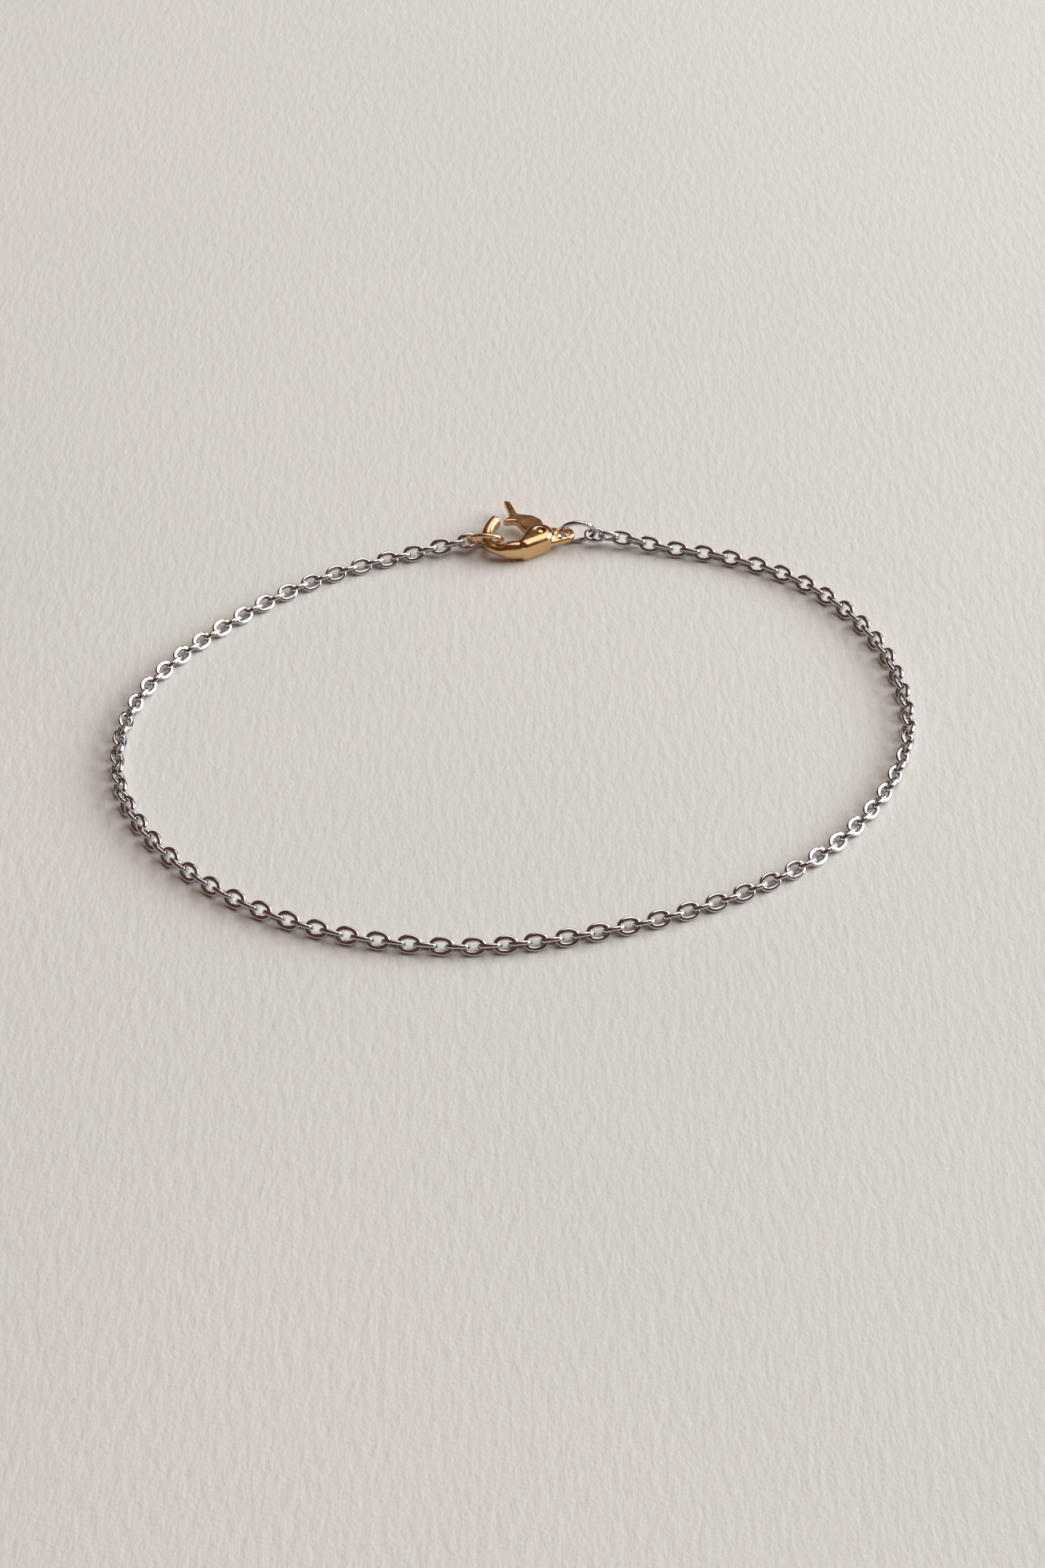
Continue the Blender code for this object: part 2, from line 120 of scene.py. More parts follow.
@dataclass(frozen=True)
class PolishedMetal:
    """A metal polished to a mirror, with the haze, fine scuffs and worn edges of use."""

    name: str
    colour: str
    worn_colour: str
    roughness: float
    haze: float
    # Size of the patches of haze, and the noise that starts one and the noise that is all haze
    patch_mm: float = 0.9
    patch_band: tuple[float, float] = (0.38, 0.72)
    # Length of the scuffs left by polishing, and how many times narrower they are the other ways
    scuff_mm: float = 0.24
    scuff_thinness: tuple[float, float, float] = (1, 7, 4)
    scuff_turn: tuple[float, float, float] = (0.3, 0.2, 0.5)
    scuff_depth_mm: float = 0.002
    scuff_strength: float = 0.12
    # Shares of the haze that scuffs add and that rubbing takes away, and of the pale tint that patches give
    scuff_haze: float = 0.6
    rubbed_haze: float = 0.5
    patch_tint: float = 0.45

    def material(self) -> bpy.types.Material:
        """Builds the material.

        Returns:
            The metal, whose colour and gloss follow patches of haze and the piece's worn edges.
        """
        material, tree, shader = new_material(self.name)
        place = add_node(tree, "ShaderNodeTexCoord").outputs["Object"]
        patches = add_node(tree, "ShaderNodeTexNoise",
                           {"Vector": place, "Scale": 1 / (self.patch_mm * MM), "Detail": 4.0})
        # Scuffs are drawn out along one way, as a polishing wheel leaves them
        drawn = add_node(tree, "ShaderNodeMapping",
                         {"Vector": place, "Scale": self.scuff_thinness, "Rotation": self.scuff_turn})
        scuffs = add_node(tree, "ShaderNodeTexNoise", {
            "Vector": drawn.outputs["Vector"], "Scale": 1 / (self.scuff_mm * MM), "Detail": 3.0})
        wear = add_node(tree, "ShaderNodeAttribute", attribute_name="wear")
        # Haze dulls the polish in patches, and rubbed edges keep it
        haze = add_node(tree, "ShaderNodeMapRange", {
            "Value": patches.outputs["Fac"], "From Min": self.patch_band[0], "From Max": self.patch_band[1],
            "To Min": self.roughness, "To Max": self.roughness + self.haze})
        fine = add_node(tree, "ShaderNodeMath", {
            0: scuffs.outputs["Fac"], 1: self.haze * self.scuff_haze, 2: haze.outputs["Result"]},
            operation="MULTIPLY_ADD")
        gloss = add_node(tree, "ShaderNodeMath", {
            0: wear.outputs["Fac"], 1: -self.haze * self.rubbed_haze, 2: fine.outputs["Value"]},
            operation="MULTIPLY_ADD", use_clamp=True)
        tint = add_node(tree, "ShaderNodeMath", {
            0: patches.outputs["Fac"], 1: self.patch_tint, 2: wear.outputs["Fac"]},
            operation="MULTIPLY_ADD", use_clamp=True)
        colour = add_node(tree, "ShaderNodeMix", {"Factor": tint.outputs["Value"]}, data_type="RGBA")
        colour.inputs["A"].default_value = linear(self.colour)
        colour.inputs["B"].default_value = linear(self.worn_colour)
        bump = add_node(tree, "ShaderNodeBump", {
            "Height": scuffs.outputs["Fac"], "Strength": self.scuff_strength,
            "Distance": self.scuff_depth_mm * MM})
        tree.links.new(colour.outputs["Result"], shader.inputs["Base Color"])
        tree.links.new(gloss.outputs["Value"], shader.inputs["Roughness"])
        tree.links.new(bump.outputs["Normal"], shader.inputs["Normal"])
        shader.inputs["Metallic"].default_value = 1
        return material


@dataclass(frozen=True)
class ToothedPaper:
    """Heavy cotton paper: matt, warm white, with the soft ribs and grain of its felt."""

    name: str = "toothed cotton paper"
    colour: str = "#E4E3DE"
    shade: str = "#DCDCD7"
    # Spacing of the felt's ribs, how they are drawn out, and how much higher they stand than the grain
    rib_mm: float = 0.62
    rib_stretch: tuple[float, float, float] = (1, 0.30, 1)
    rib_weight: float = 2.2
    # Size of the grain between the ribs, depth of the relief, and size of the clouds of tone
    grain_mm: float = 0.30
    relief_mm: float = 0.022
    cloud_mm: float = 60
    roughness: float = 0.92
    specular: float = 0.25

    def material(self) -> bpy.types.Material:
        """Builds the material.

        Returns:
            The paper, with its relief as a bump and a slight change of tone.
        """
        material, tree, shader = new_material(self.name)
        place = add_node(tree, "ShaderNodeTexCoord").outputs["Object"]
        # The ribs run away from the viewer, broken every few millimetres
        along = add_node(tree, "ShaderNodeMapping", {"Vector": place, "Scale": self.rib_stretch})
        ribs = add_node(tree, "ShaderNodeTexNoise",
                        {"Vector": along.outputs["Vector"], "Scale": 1 / (self.rib_mm * MM), "Detail": 2.0})
        grain = add_node(tree, "ShaderNodeTexNoise",
                         {"Vector": place, "Scale": 1 / (self.grain_mm * MM), "Detail": 5.0})
        relief = add_node(tree, "ShaderNodeMath", {
            0: ribs.outputs["Fac"], 1: self.rib_weight, 2: grain.outputs["Fac"]}, operation="MULTIPLY_ADD")
        bump = add_node(tree, "ShaderNodeBump",
                        {"Height": relief.outputs["Value"], "Strength": 1.0, "Distance": self.relief_mm * MM})
        cloud = add_node(tree, "ShaderNodeTexNoise",
                         {"Vector": place, "Scale": 1 / (self.cloud_mm * MM), "Detail": 3.0})
        colour = add_node(tree, "ShaderNodeMix", {"Factor": cloud.outputs["Fac"]}, data_type="RGBA")
        colour.inputs["A"].default_value = linear(self.colour)
        colour.inputs["B"].default_value = linear(self.shade)
        tree.links.new(colour.outputs["Result"], shader.inputs["Base Color"])
        tree.links.new(bump.outputs["Normal"], shader.inputs["Normal"])
        shader.inputs["Roughness"].default_value = self.roughness
        shader.inputs["Specular IOR Level"].default_value = self.specular
        return material


# Drawn stainless wire, barrelled bright: a cool grey mirror, a little whiter where links rub
STEEL = PolishedMetal("barrelled stainless wire", "#B4B4B6", "#D2D2D4", roughness=0.07, haze=0.08)
# Gold plate over a casting: warm yellow, paler where the plate is rubbed
GOLD = PolishedMetal("gold-plated casting", "#D8AE7C", "#E6C69C", roughness=0.14, haze=0.10)
PAPER = ToothedPaper()


def finish_object(name: str, bm: bmesh.types.BMesh,
                  material: bpy.types.Material | None = None) -> bpy.types.Object:
    """Turns a bmesh into an object with smooth shading.

    Args:
        name: The object's name.
        bm: The shape, which is freed.
        material: The object's finish, if it shows.

    Returns:
        The object, at the origin and unturned.
    """
    bmesh.ops.recalc_face_normals(bm, faces=bm.faces)
    mesh = bpy.data.meshes.new(name)
    bm.to_mesh(mesh)
    bm.free()
    mesh.shade_smooth()
    item = bpy.data.objects.new(name, mesh)
    bpy.context.scene.collection.objects.link(item)
    if material:
        mesh.materials.append(material)
    return item


def add_piece(item: bpy.types.Object, body: str, slot: str, *nodes: str) -> bpy.types.Object:
    """Gives a finished piece its body and hides the solids that it stands for.

    Args:
        item: The piece.
        body: The body that carries it.
        slot: The record's material slot. Not used.
        nodes: The solids that it replaces.

    Returns:
        The same piece.
    """
    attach(item, body)
    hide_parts(*nodes)
    low, high = (Vector(corner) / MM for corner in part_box(nodes[0]))
    log.info("%s: %d faces, for %s, %.1f x %.1f x %.1f mm", item.name, len(item.data.polygons),
             ", ".join(nodes), *(high - low))
    return item


def mark_wear(bm: bmesh.types.BMesh, span: float) -> None:
    """Stores how far each point stands out from its neighbours, as the attribute named wear.

    Args:
        bm: The shape.
        span: Rise over which an edge counts as fully worn.
    """
    layer = bm.verts.layers.float.get("wear") or bm.verts.layers.float.new("wear")
    bm.normal_update()
    for vert in bm.verts:
        around = [edge.other_vert(vert).co for edge in vert.link_edges]
        middle = sum(around, Vector()) / len(around)
        vert[layer] = min(1.0, max(0.0, (vert.co - middle).dot(vert.normal) / span))


def arc(centre: tuple[float, float], radius: float, start: float, end: float, step: float) -> list[Vector]:
    """Points on an arc, in plan.

    Args:
        centre: The arc's middle.
        radius: Its radius.
        start: First angle, in degrees.
        end: Last angle, in degrees.
        step: Largest step, in degrees.

    Returns:
        The points, with both ends.
    """
    count = max(2, math.ceil(abs(end - start) / step))
    turns = [math.radians(start + (end - start) * k / count) for k in range(count + 1)]
    return [Vector((centre[0] + radius * math.cos(t), centre[1] + radius * math.sin(t), 0)) for t in turns]


def plate(outline: list[Vector], low: float, high: float, rim: float, corner: float = 0) -> bmesh.types.BMesh:
    """A flat plate with rounded rims and corners.

    Args:
        outline: Its corners in plan, in order.
        low: Height of its lower face.
        high: Height of its upper face.
        rim: Radius of its rims, or 0 for sharp ones.
        corner: Radius of its sharp corners in plan, or 0 to leave them.

    Returns:
        The closed plate.
    """
    bm = bmesh.new()
    bottom = bm.faces.new([bm.verts.new((p.x, p.y, low)) for p in outline])
    raised = bmesh.ops.extrude_face_region(bm, geom=[bottom])
    top = [v for v in raised["geom"] if isinstance(v, bmesh.types.BMVert)]
    bmesh.ops.translate(bm, verts=top, vec=(0, 0, high - low))
    bmesh.ops.recalc_face_normals(bm, faces=bm.faces)
    if corner:
        upright = [e for e in bm.edges if abs(e.verts[0].co.z - e.verts[1].co.z) > (high - low) / 2]
        sharp = [e for e in upright if e.calc_face_angle() > SHARP]
        bmesh.ops.bevel(bm, geom=sharp, offset=corner, segments=6, affect="EDGES", profile=0.5, material=-1)
    if rim:
        rims = [e for e in bm.edges if abs(e.verts[0].co.z - e.verts[1].co.z) < rim / 100]
        bmesh.ops.bevel(bm, geom=rims, offset=rim, segments=4, affect="EDGES", profile=0.5, material=-1)
    return bm


def wrap(circles: list[tuple[float, float, float]], step: float = 6) -> list[Vector]:
    """The outline that wraps round circles in plan.

    Args:
        circles: Each circle's middle and radius.
        step: Angle between points, in degrees.

    Returns:
        The outline's corners in order.
    """
    points = [p for x, y, radius in circles for p in arc((x, y), radius, 0, 360, step)[:-1]]
    hull = geometry.convex_hull_2d([p.to_2d() for p in points])
    return [points[k] for k in hull]


def tumbled(item: bpy.types.Object, voxel: float, rounds: int) -> bmesh.types.BMesh:
    """The object's evaluated shape with one even skin, its edges softened as tumbling in a barrel does.

    Args:
        item: The object, which is removed with its cutters.
        voxel: Fineness of the skin.
        rounds: How often the skin is smoothed.

    Returns:
        The softened shape.
    """
    skin = item.modifiers.new("skin", "REMESH")
    skin.mode = "VOXEL"
    skin.voxel_size = voxel
    evaluated = item.evaluated_get(bpy.context.evaluated_depsgraph_get())
    bm = bmesh.new()
    bm.from_mesh(evaluated.data)
    for _ in range(rounds):
        bmesh.ops.smooth_vert(bm, verts=bm.verts, factor=0.5,
                              use_axis_x=True, use_axis_y=True, use_axis_z=True)
    for tool in [step.object for step in item.modifiers if step.type == "BOOLEAN"] + [item]:
        bpy.data.objects.remove(tool)
    return bm


def combine(item: bpy.types.Object, shape: bmesh.types.BMesh, operation: str) -> None:
    """Adds a Boolean with another shape.

    Args:
        item: The object that is changed.
        shape: The shape that is added or cut away.
        operation: UNION or DIFFERENCE.
    """
    step = item.modifiers.new(operation.lower(), "BOOLEAN")
    step.operation = operation
    step.solver = "EXACT"
    step.object = finish_object("tool", shape)
    step.object.hide_render = True


class Half(Enum):
    """The chain's two halves, from the hook's ring to the front and on to the tail's ring."""

    HOOK = "chain_hook_half"
    TAIL = "chain_tail_half"


@dataclass
class Link:
    """One oval link of bright wire, its faces filed flat and its edges rounded.

    The solid's wire is five-sided, and the chain's pitch follows from that wire's flat inner side.
    """

    solid_length: float = 1.87 * MM
    solid_wire: float = 0.34 * MM
    solid_sides: int = 5
    neck: float = 0.02 * MM
    # The fine link is a little longer and wider, because its wire has the full girth of the real one
    length: float = 1.94 * MM
    width: float = 1.46 * MM
    # The fine wire's section, in the link's plane and across it
    wire_width: float = 0.37 * MM
    wire_depth: float = 0.35 * MM
    edge_radius: float = 0.125 * MM
    # How square the oval is: 2 is an ellipse
    squareness: float = 2.25
    stations: int = 30
    section_sides: int = 16
    # Half the turn round the oval over which the wire's way is read
    way_turn: float = 0.02
    # Gap under a standing link, and rise over which its edges count as fully worn
    stand_gap: float = 0.002 * MM
    wear_rise: float = 0.012 * MM

    def girth(self) -> float:
        """Ratio of the solid wire's corner radius to its nominal radius."""
        return 2 / (1 + math.cos(math.pi / self.solid_sides))

    def bearing(self) -> float:
        """Distance from a solid link's middle to the inner side of its end."""
        flat = self.solid_wire / 2 * self.girth() * math.cos(math.pi / self.solid_sides)
        return (self.solid_length - self.solid_wire) / 2 - flat

    def stand_height(self, roll: float) -> float:
        """Height of a rolled link's middle when it stands on the surface.

        Args:
            roll: Angle of the link's width from level.

        Returns:
            The height that leaves the lowest edge just clear of the surface.
        """
        reach = (self.width - self.wire_width) / 2 * math.sin(roll)
        flat = (self.wire_width / 2 - self.edge_radius) * math.sin(roll)
        side = (self.wire_depth / 2 - self.edge_radius) * math.cos(roll)
        return reach + flat + side + self.edge_radius + self.stand_gap

    def middle_line(self, turn: float) -> Vector:
        """A point of the wire's middle line, in the link's plane."""
        power = 2 / self.squareness
        c, s = math.cos(turn), math.sin(turn)
        x = math.copysign(abs(c) ** power, c) * (self.length - self.wire_width) / 2
        y = math.copysign(abs(s) ** power, s) * (self.width - self.wire_width) / 2
        return Vector((x, y, 0))

    def rounded(self, point: Vector) -> Vector:
        """Moves a point of a unit circle onto the wire's section, a square with round corners."""
        first = math.pi / self.section_sides
        turn = math.atan2(abs(point.y), abs(point.x))
        share = min(1.0, max(0.0, (turn - first) / (math.pi / 2 - 2 * first))) * math.pi / 2
        x = self.wire_width / 2 - self.edge_radius * (1 - math.cos(share))
        y = self.wire_depth / 2 - self.edge_radius * (1 - math.sin(share))
        return Vector((math.copysign(x, point.x), math.copysign(y, point.y), 0))

    def build(self) -> bpy.types.Mesh:
        """Bends the section along the oval.

        Returns:
            The link's mesh, lying in the plane z = 0 with its length along X.
        """
        bm = bmesh.new()
        edges = []
        half_step = Matrix.Rotation(math.pi / self.section_sides, 4, "Z")
        for k in range(self.stations):
            turn = 2 * math.pi * k / self.stations
            ahead = self.middle_line(turn + self.way_turn) - self.middle_line(turn - self.way_turn)
            outward = Vector((ahead.y, -ahead.x, 0)).normalized()
            plane = Matrix((outward, UP, outward.cross(UP))).transposed().to_4x4()
            place = Matrix.Translation(self.middle_line(turn)) @ plane
            ring = bmesh.ops.create_circle(bm, segments=self.section_sides, radius=1, matrix=half_step)
            for vert in ring["verts"]:
                vert.co = place @ self.rounded(vert.co)
            edges += list({e for v in ring["verts"] for e in v.link_edges})
        bmesh.ops.bridge_loops(bm, edges=edges, use_cyclic=True)
        bmesh.ops.recalc_face_normals(bm, faces=bm.faces)
        mark_wear(bm, self.wear_rise)
        mesh = bpy.data.meshes.new("link")
        bm.to_mesh(mesh)
        bm.free()
        return mesh


@dataclass
class JumpRing:
    """A ring bent from wire, with its cut, that leans towards -Y and stands on the surface."""

    diameter: float
    # Angle of the ring's plane from level
    lean: float
    # Middle of the bar that holds the ring, and how far past it along X the ring's middle lies
    held: Vector
    past: float
    # Place of the cut round the ring, and its width
    seam_at: float
    seam: float = 0.03 * MM
    seam_rim: float = 0.02 * MM
    wire: float = 0.41 * MM
    wire_sides: int = 18
    steps: int = 84
    wear_rise: float = 0.02 * MM

    def __post_init__(self) -> None:
        """Works out the ring's middle from the bar that it holds."""
        self.radius = (self.diameter - self.wire) / 2
        self.up = Vector((0, -math.cos(self.lean), math.sin(self.lean)))
        height = self.radius * self.up.z + self.wire / 2
        rise = (height - self.held.z) / self.up.z
        self.centre = self.held + self.up * rise + Vector((self.past, 0, 0))

    def low_point(self, side: int, height: float) -> tuple[Vector, Vector]:
        """Where the wire passes a height.

        Args:
            side: 1 for the ring's +X side, -1 for the other.
            height: The height.

        Returns:
            The middle of the wire there, and the wire's way.
        """
        climb = (height - self.centre.z) / self.up.z
        reach = Vector((side * math.sqrt(self.radius ** 2 - climb ** 2), 0, 0))
        wire_way = (self.up * reach.x - Vector((climb, 0, 0))) / self.radius
        return self.centre + self.up * climb + reach, wire_way

    def build(self) -> bmesh.types.BMesh:
        """Spins the wire's section round the ring, but for the cut.

        Returns:
            The ring, with both cut ends closed.
        """
        bm = bmesh.new()
        gap = self.seam / self.radius
        start = Matrix.Rotation(self.seam_at + gap / 2, 4, "Z") @ Matrix.Translation((self.radius, 0, 0))
        section = bmesh.ops.create_circle(bm, segments=self.wire_sides, radius=self.wire / 2,
                                          matrix=start @ Matrix.Rotation(math.pi / 2, 4, "X"))
        edges = list({e for v in section["verts"] for e in v.link_edges})
        bmesh.ops.spin(bm, geom=section["verts"] + edges, cent=(0, 0, 0), axis=(0, 0, 1),
                       angle=2 * math.pi - gap, steps=self.steps, use_merge=False)
        bmesh.ops.holes_fill(bm, edges=[e for e in bm.edges if e.is_boundary])
        ends = [e for f in bm.faces if len(f.verts) > 4 for e in f.edges]
        bmesh.ops.bevel(bm, geom=ends, offset=self.seam_rim, segments=2, affect="EDGES", profile=0.5,
                        material=-1)
        across = Vector((1, 0, 0)).cross(self.up)
        plane = Matrix((Vector((1, 0, 0)), self.up, across)).transposed().to_4x4()
        bmesh.ops.transform(bm, matrix=Matrix.Translation(self.centre) @ plane, verts=bm.verts)
        mark_wear(bm, self.wear_rise)
        return bm


@dataclass
class Chain:
    """The chain's way round the loop and the links on it, from the hook's ring to the tail's."""

    link: Link
    hook_ring: JumpRing
    tail_ring: JumpRing
    # Gap between an end link and its ring, and play between the two halves' last links
    clearance: float = 0.10 * MM
    halves_play: float = 0.15 * MM
    # Links roll this far from level by turns, one way and the other
    roll: float = math.radians(45)
    # Height at which the chain meets a ring, and the length over which it rises to it
    end_height: float = 1.0 * MM
    lifted_length: float = 7.0 * MM
    # Extra roll of the last links, which turns the end link across the tail's ring
    tail_twist: float = math.radians(21)
    # Points between two chosen points of the way
    steps: int = 24
    # The links' small differences in roll along the way
    roll_spread: float = math.radians(2.2)
    seed: int = 11
    # The way round the loop, in millimetres from the rivet: chosen points, hook end first
    way: tuple[tuple[float, float], ...] = (
        (-11.6, -1.9), (-17.1, -4.3), (-22.0, -7.6), (-26.3, -11.7), (-30.1, -16.3), (-32.9, -21.5),
        (-34.1, -27.3), (-33.5, -33.2), (-31.1, -38.6), (-27.5, -43.2), (-22.9, -47.0), (-17.6, -49.8),
        (-12.0, -51.4), (-6.0, -52.0), (-0.1, -51.4), (5.6, -50.0), (11.2, -48.0), (16.5, -45.3),
        (21.3, -41.8), (25.2, -37.3), (28.1, -32.2), (29.8, -26.5), (29.8, -20.6), (28.5, -14.8),
        (25.8, -9.5), (21.8, -5.2), (16.6, -2.3), (10.9, -0.7), (7.2, 0.3),
    )

    def __post_init__(self) -> None:
        """Draws the smooth way and measures it."""
        start, self.start_wire = self.hook_ring.low_point(-1, self.end_height)
        end, self.end_wire = self.tail_ring.low_point(1, self.end_height)
        flat = [Vector((x * MM, y * MM, 0)) for x, y in self.way]
        points = [Vector((start.x, start.y, 0))] + flat + [Vector((end.x, end.y, 0))]
        lean = [b - a for a, b in zip([points[0]] + points, points[1:] + [points[-1]])]
        self.line: list[Vector] = []
        for k in range(len(points) - 1):
            here, there = points[k], points[k + 1]
            reach = (there - here).length / 3
            handles = here + lean[k].normalized() * reach, there - lean[k + 1].normalized() * reach
            self.line += geometry.interpolate_bezier(here, *handles, there, self.steps)[:-1]
        self.line.append(points[-1])
        self.marks = [0.0]
        for here, there in zip(self.line, self.line[1:]):
            self.marks.append(self.marks[-1] + (there - here).length)

    def lift(self, distance: float) -> float:
        """Share of the rise towards a ring: 1 at the ring, 0 past the lifted length."""
        share = min(1, max(0, 1 - distance / self.lifted_length))
        return share * share * (3 - 2 * share)

    def at(self, distance: float) -> Vector:
        """The point at a distance along the way, lifted near the rings."""
        k = 0
        while k < len(self.marks) - 2 and self.marks[k + 1] < distance:
            k += 1
        ahead = (self.line[k + 1] - self.line[k]).normalized()
        share = self.lift(min(distance, self.marks[-1] - distance))
        low = self.link.stand_height(self.roll)
        height = low + (self.end_height - low) * share
        return self.line[k] + ahead * (distance - self.marks[k]) + UP * height

    def inset(self, way: Vector, wire_way: Vector) -> float:
        """Distance from a ring's wire, which slants through the end link, to that link's middle."""
        slant = abs(way.dot(wire_way))
        across = math.sqrt(1 - slant ** 2)
        ring_reach = self.hook_ring.wire / 2 * self.link.girth()
        link_reach = self.link.solid_wire / 2 * self.link.girth()
        return self.link.bearing() - self.clearance - (ring_reach + link_reach * slant) / across

    def places(self) -> dict[Half, list[Matrix]]:
        """Places every link.

        Returns:
            Each half's links as matrices, each link a quarter turn from the next.
        """
        dice = random.Random(self.seed)
        first = self.inset((self.line[1] - self.line[0]).normalized(), self.start_wire)
        last = self.inset((self.line[-1] - self.line[-2]).normalized(), self.end_wire)
        lost = self.halves_play - self.link.neck
        room = self.marks[-1] - first - last + lost
        count = int(room / (2 * self.link.bearing() - self.link.neck)) + 1
        count -= 1 - count % 2
        pitch = room / (count - 1)
        half = count // 2 + 1
        found: dict[Half, list[Matrix]] = {Half.HOOK: [], Half.TAIL: []}
        for k in range(count):
            distance = first + k * pitch - lost * (k >= half)
            roll = self.roll if k % 2 else -self.roll
            roll += self.tail_twist * self.lift(self.marks[-1] - distance)
            roll += dice.uniform(-1, 1) * self.roll_spread * (0 < k < count - 1)
            ahead = (self.at(distance + pitch / 2) - self.at(distance - pitch / 2)).normalized()
            side = UP.cross(ahead).normalized()
            width = side * math.cos(roll) + ahead.cross(side) * math.sin(roll)
            turn = Matrix((ahead, width, ahead.cross(width))).transposed().to_4x4()
            found[Half.TAIL if k >= half else Half.HOOK].append(Matrix.Translation(self.at(distance)) @ turn)
        return found

    def build(self, half: Half) -> bmesh.types.BMesh:
        """Sets one half's links along the way.

        Args:
            half: Which half.

        Returns:
            The links as closed bodies that hang in each other.
        """
        bm = bmesh.new()
        pattern = self.link.build()
        for place in self.places()[half]:
            copy = pattern.copy()
            copy.transform(place)
            bm.from_mesh(copy)
            bpy.data.meshes.remove(copy)
        bpy.data.meshes.remove(pattern)
        return bm


@dataclass
class Clasp:
    """A small cast claw clasp: hook, spine, cheeks and tail in one, a sprung gate and its rivet."""

    height: float = 2.0 * MM
    hook_height: float = 0.90 * MM
    hook_bar: float = 1.0 * MM
    hook_reach: float = 4.6 * MM
    # Angle of the nose's end round the rivet, and share of the bar's width over which the nose is rounded
    hook_end: float = 142.5
    nose_round: float = 0.42
    # How far the nose's first section is in from its tip
    nose_start: float = 0.03 * MM
    # How square the bar's section is: 2 is an ellipse
    squareness: float = 2.5
    bar_sides: int = 32
    heel_radius: float = 1.7 * MM
    # Angle round the heel where the hook's ring hangs
    ring_at: float = math.radians(190)
    spine_radius: float = 6.4 * MM
    spine_end: float = 290
    cheek_radius: float = 1.3 * MM
    shoulder_at: float = 285
    shoulder_radius: float = 0.70 * MM
    waist: tuple[float, float] = (0.0, -0.3 * MM)
    waist_radius: float = 0.95 * MM
    tail_height: float = 0.60 * MM
    tail: tuple[float, float] = (2.15 * MM, 0.6 * MM)
    tail_radius: float = 0.95 * MM
    tail_hole: float = 0.58 * MM
    slot: tuple[float, float] = (62, 188)
    rivet_radius: float = 0.32 * MM
    rivet_recess: float = 0.05 * MM
    gate_height: float = 0.65 * MM
    knuckle_radius: float = 0.95 * MM
    # Angles round the rivet where the gate's knuckle starts and ends, and where its tip meets the nose
    knuckle: tuple[float, float] = (152, 436)
    gate_tip: tuple[float, float] = (132, 144.5)
    # The gate's back and thumb piece, and its inner corner, in millimetres from the rivet
    gate_back: tuple[tuple[float, float], ...] = (
        (0.42, 1.7), (0.15, 2.6), (-0.6, 3.2), (-1.95, 3.45), (-2.6, 5.35), (-3.15, 5.4), (-2.6, 3.36))
    gate_inner: tuple[float, float] = (-2.1, 2.42)
    # Play between the gate's tip and the nose, beyond the clearance
    tip_play: float = 0.03 * MM
    gate_rim: float = 0.10 * MM
    gate_corner: float = 0.20 * MM
    clearance: float = 0.10 * MM
    cheek_rim: float = 0.60 * MM
    tail_rim: float = 0.24 * MM
    # The fairing falls from just inside the cheeks' edge to an end placed as shares of the tail's place
    fairing_inset: float = 0.1 * MM
    fairing_end: tuple[float, float] = (0.6, 0.7)
    fairing_end_radius: float = 0.75 * MM
    fairing_height: float = 1.30 * MM
    fairing_rim: float = 0.50 * MM
    # Growth of the bar's width and height along the spine, as shares, and how many sections sooner it starts
    swell: tuple[float, float] = (0.22, 0.90)
    swell_lead: int = 4
    # Growth of the bar's height towards the nose, and the length over which it fades
    nose_swell: float = 0.50
    nose_length: float = 2.6 * MM
    # Fineness of the tumbled body's skin, the gate's as a share of it, and how often each is smoothed
    skin: float = 0.045 * MM
    gate_skin: float = 0.8
    body_rounds: int = 9
    gate_rounds: int = 10
    # Rises over which the body's, the gate's and the rivet's edges count as fully worn
    wear_rises: tuple[float, float, float] = (0.004 * MM, 0.003 * MM, 0.010 * MM)
    # The rivet's domed end: height of the dome, and the bevel round both ends
    rivet_dome: float = 0.06 * MM
    rivet_rim: float = 0.05 * MM

    def hook(self) -> bmesh.types.BMesh:
        """Sweeps the hook from its rounded nose round the heel and along the spine.

        Returns:
            The hook as a closed bar of oval section.
        """
        heel = (-self.hook_reach + self.heel_radius, 0)
        path = arc((0, 0), self.hook_reach, self.hook_end, 180, 1.5)[:-1]
        path += arc(heel, self.heel_radius, 180, 270, 5)[:-1]
        spine = arc(self.spine_middle(), self.spine_radius, 270, self.spine_end, 4)
        path += spine
        bm = bmesh.new()
        edges = []
        gone = 0.0
        for k, point in enumerate(path):
            ahead = (path[min(k + 1, len(path) - 1)] - path[max(k - 1, 0)]).normalized()
            gone += (point - path[max(k - 1, 0)]).length
            share = min(1.0, (gone + self.nose_start) / (self.hook_bar * self.nose_round))
            full = math.sqrt(1 - (1 - share) ** 2)
            outward = Vector((ahead.y, -ahead.x, 0))
            plane = Matrix((outward, UP, outward.cross(UP))).transposed().to_4x4()
            grown = min(1.0, max(0.0, (k - len(path) + len(spine) + self.swell_lead) / len(spine)))
            wide, tall = (1 + most * grown * grown * (3 - 2 * grown) for most in self.swell)
            tall += self.nose_swell * max(0.0, 1 - gone / self.nose_length)
            half = (self.hook_bar / 2 * full * wide, self.hook_height / 2 * full * tall)
            place = Matrix.Translation(point + UP * self.height / 2) @ plane @ Matrix.Diagonal((*half, 1, 1))
            ring = bmesh.ops.create_circle(bm, segments=self.bar_sides, radius=1)
            for vert in ring["verts"]:
                vert.co = place @ self.squared(vert.co)
            edges += list({e for v in ring["verts"] for e in v.link_edges})
        bmesh.ops.bridge_loops(bm, edges=edges)
        bmesh.ops.holes_fill(bm, edges=[e for e in bm.edges if e.is_boundary])
        bmesh.ops.recalc_face_normals(bm, faces=bm.faces)
        return bm

